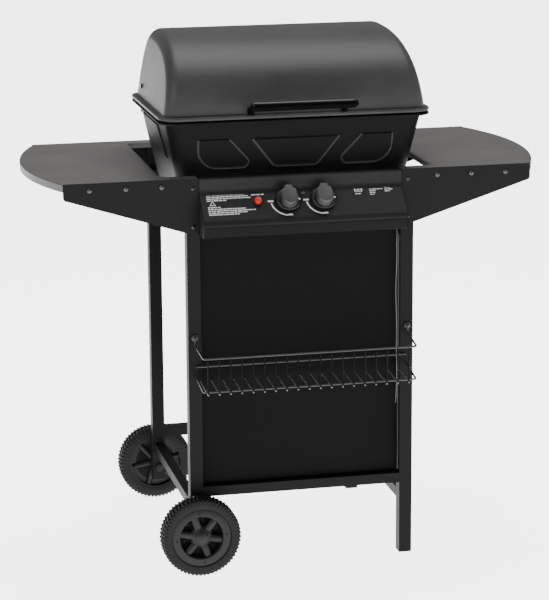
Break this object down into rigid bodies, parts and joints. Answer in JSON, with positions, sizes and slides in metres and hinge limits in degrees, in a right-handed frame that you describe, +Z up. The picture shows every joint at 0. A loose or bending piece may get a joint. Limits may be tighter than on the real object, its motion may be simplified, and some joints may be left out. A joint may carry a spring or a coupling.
{
  "type": "gas barbecue",
  "caption": "Gas barbecue on a wheeled stand with hinged lid, side tables, control knobs, push igniter, front panel and wire basket.",
  "frame": {"origin": "on the floor, at the middle of the overall width and depth", "axes": "+X to the right seen from the front, +Y to the back, +Z up"},
  "size_m": [0.9998, 0.5757, 1.0135],
  "materials": {
    "frame_paint": "satin black powder coat",
    "table_paint": "satin warm dark grey powder coat",
    "cap_plastic": "matt",
    "screw_steel": "bright zinc plate",
    "black_screws": "satin black",
    "brass": "satin",
    "plated_steel": "zinc plate",
    "ceramic": "glazed",
    "firebox_paint": "satin heat-resistant black",
    "lid_paint": "fine-textured charcoal grey",
    "grate_chrome": "plated wire",
    "handle_black": "gloss black",
    "knob_plastic": "satin dark grey",
    "button_red": "gloss red",
    "tyre_plastic": "matt black",
    "hub_plastic": "satin black"
  },
  "bodies": {
    "stand": {"left_front_leg": "frame_paint", "right_front_leg": "frame_paint", "left_rear_leg": "frame_paint", "right_rear_leg": "frame_paint", "foot_caps": "cap_plastic", "front_bottom_rail": "frame_paint", "rear_bottom_rail": "frame_paint", "left_bottom_rail": "frame_paint", "right_bottom_rail": "frame_paint", "left_top_rail": "frame_paint", "right_top_rail": "frame_paint", "rear_top_rail": "frame_paint", "front_top_rail": "frame_paint", "left_side_table": "table_paint", "right_side_table": "table_paint", "left_front_bracket": "frame_paint", "right_front_bracket": "frame_paint", "left_rear_bracket": "frame_paint", "right_rear_bracket": "frame_paint", "table_screws": "screw_steel", "leg_screws": "black_screws", "front_panel": "frame_paint", "control_panel": "frame_paint", "panel_screw": "black_screws", "left_gas_valve": "brass", "right_gas_valve": "brass", "gas_manifold": "plated_steel", "left_burner": "plated_steel", "right_burner": "plated_steel", "igniter_body": "cap_plastic", "igniter_electrode": "ceramic", "basket_frame": "frame_paint", "basket_ribs": "frame_paint", "basket_screws": "black_screws", "axle_bolts": "black_screws", "firebox": "firebox_paint", "firebox_bolts": "screw_steel", "hinge_pins": "screw_steel", "left_flame_tamer": "plated_steel", "right_flame_tamer": "plated_steel", "warming_rack": "grate_chrome", "rack_screws": "black_screws", "cup_holder": "plated_steel"},
    "lid": {"lid_shell": "lid_paint", "lid_handle": "handle_black", "handle_screws": "screw_steel", "lid_side_screws": "black_screws"},
    "left_knob": {"left_knob": "knob_plastic", "left_valve_stem": "plated_steel"},
    "right_knob": {"right_knob": "knob_plastic", "right_valve_stem": "plated_steel"},
    "igniter_button": {"igniter_button": "button_red"},
    "front_wheel": {"front_tyre": "tyre_plastic", "front_hub": "hub_plastic", "front_hub_cap": "hub_plastic"},
    "rear_wheel": {"rear_tyre": "tyre_plastic", "rear_hub": "hub_plastic", "rear_hub_cap": "hub_plastic"},
    "cooking_grate": {"cooking_grate": "grate_chrome"},
    "grease_cup": {"grease_cup": "plated_steel"}
  },
  "joints": [
    {"name": "lid_hinge", "type": "hinge", "parent": "stand", "child": "lid", "pos_m": [0, 0.178, 0.87], "axis": [-1, 0, 0], "range_deg": [0, 95]},
    {"name": "left_knob_turn", "type": "hinge", "parent": "stand", "child": "left_knob", "pos_m": [-0.03, -0.2245, 0.7195], "axis": [0, -0.7071, 0.7071], "range_deg": [0, 180]},
    {"name": "right_knob_turn", "type": "hinge", "parent": "stand", "child": "right_knob", "pos_m": [0.038, -0.2245, 0.7195], "axis": [0, -0.7071, 0.7071], "range_deg": [0, 180]},
    {"name": "igniter_push", "type": "slide", "parent": "stand", "child": "igniter_button", "axis": [0, 0.7071, -0.7071], "range_m": [0, 0.004], "stiffness_N_per_m": 400},
    {"name": "front_wheel_spin", "type": "hinge", "parent": "stand", "child": "front_wheel", "pos_m": [-0.2075, -0.237, 0.077], "axis": [0, 1, 0], "continuous": true},
    {"name": "rear_wheel_spin", "type": "hinge", "parent": "stand", "child": "rear_wheel", "pos_m": [-0.2075, 0.273, 0.077], "axis": [0, 1, 0], "continuous": true},
    {"name": "cooking_grate_lift", "type": "slide", "parent": "stand", "child": "cooking_grate", "axis": [0, 0, 1], "range_m": [0, 0.02]},
    {"name": "grease_cup_slide", "type": "slide", "parent": "stand", "child": "grease_cup", "axis": [0, 1, 0], "range_m": [0, 0.11]}
  ]
}
